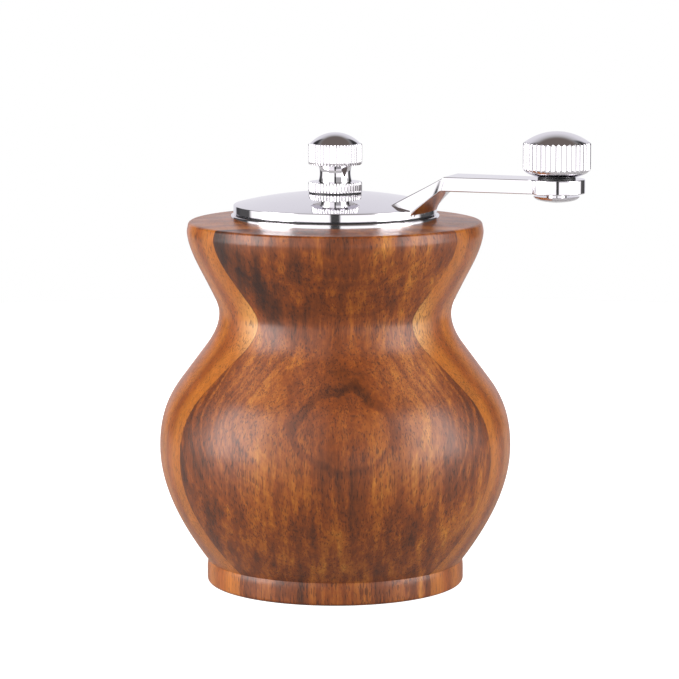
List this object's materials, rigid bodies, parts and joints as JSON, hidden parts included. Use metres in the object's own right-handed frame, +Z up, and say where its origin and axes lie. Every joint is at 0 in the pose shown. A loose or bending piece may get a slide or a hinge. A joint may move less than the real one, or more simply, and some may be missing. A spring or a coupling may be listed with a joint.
{
  "type": "burr coffee grinder",
  "caption": "Hand burr coffee grinder: turned wooden pot-bellied body with bean hopper, chromed crank lid and knob, and a knurled nut that sets the grind.",
  "frame": {"origin": "middle of the foot's underside, on the shaft's axis", "axes": "+Z up along the shaft's axis, +X along the crank arm towards its knob at rest"},
  "size_m": [0.119, 0.0954, 0.1247],
  "materials": {
    "wood": "turned glue-laminated acacia, satin lacquer",
    "chrome": "bright chrome plate on die-cast zinc",
    "steel": "bright drawn or zinc-plated steel",
    "nylon": "moulded black nylon",
    "ceramic": "fired unglazed ceramic"
  },
  "bodies": {
    "body": {"wood_body": "wood", "collar": "chrome", "collar_screws": "steel", "burr_housing": "nylon", "housing_screws": "steel", "stator_burr": "ceramic", "stator_clip": "steel", "shaft_bridge": "steel", "bridge_screws": "steel"},
    "bush": {"shaft_bush": "nylon", "bush_clip": "steel", "upper_spring_washer": "steel"},
    "spindle": {"shaft": "steel", "rotor_burr": "ceramic", "rotor_washer": "steel", "rotor_screw": "steel", "lower_spring_washer": "steel", "spring": "steel"},
    "crank": {"crank_lid": "chrome", "glide_ring": "nylon", "knob_pin": "chrome", "knob_washer": "nylon", "nut_washer": "nylon"},
    "nut": {"adjusting_nut": "chrome"},
    "knob": {"crank_knob": "chrome"}
  },
  "joints": [
    {"name": "crank_turn", "type": "hinge", "parent": "body", "child": "bush", "pos_m": [0, 0, 0.04], "axis": [0, 0, 1], "continuous": true},
    {"name": "burr_setting", "type": "slide", "parent": "bush", "child": "spindle", "axis": [0, 0, 1], "range_m": [-0.0016, 0.0006], "deforming": ["spring"]},
    {"name": "lid_lift", "type": "slide", "parent": "bush", "child": "crank", "axis": [0, 0, 1], "range_m": [0, 0.035]},
    {"name": "grind_adjust", "type": "hinge", "parent": "crank", "child": "nut", "pos_m": [0, 0, 0.11], "axis": [0, 0, 1], "range_deg": [-270.5, 721]},
    {"name": "knob_spin", "type": "hinge", "parent": "crank", "child": "knob", "pos_m": [0.0624, 0, 0.118], "axis": [0, 0, 1], "continuous": true}
  ],
  "couplings": [
    {"joint": "grind_adjust", "follows": "burr_setting", "rad_per_m": -7854}
  ]
}
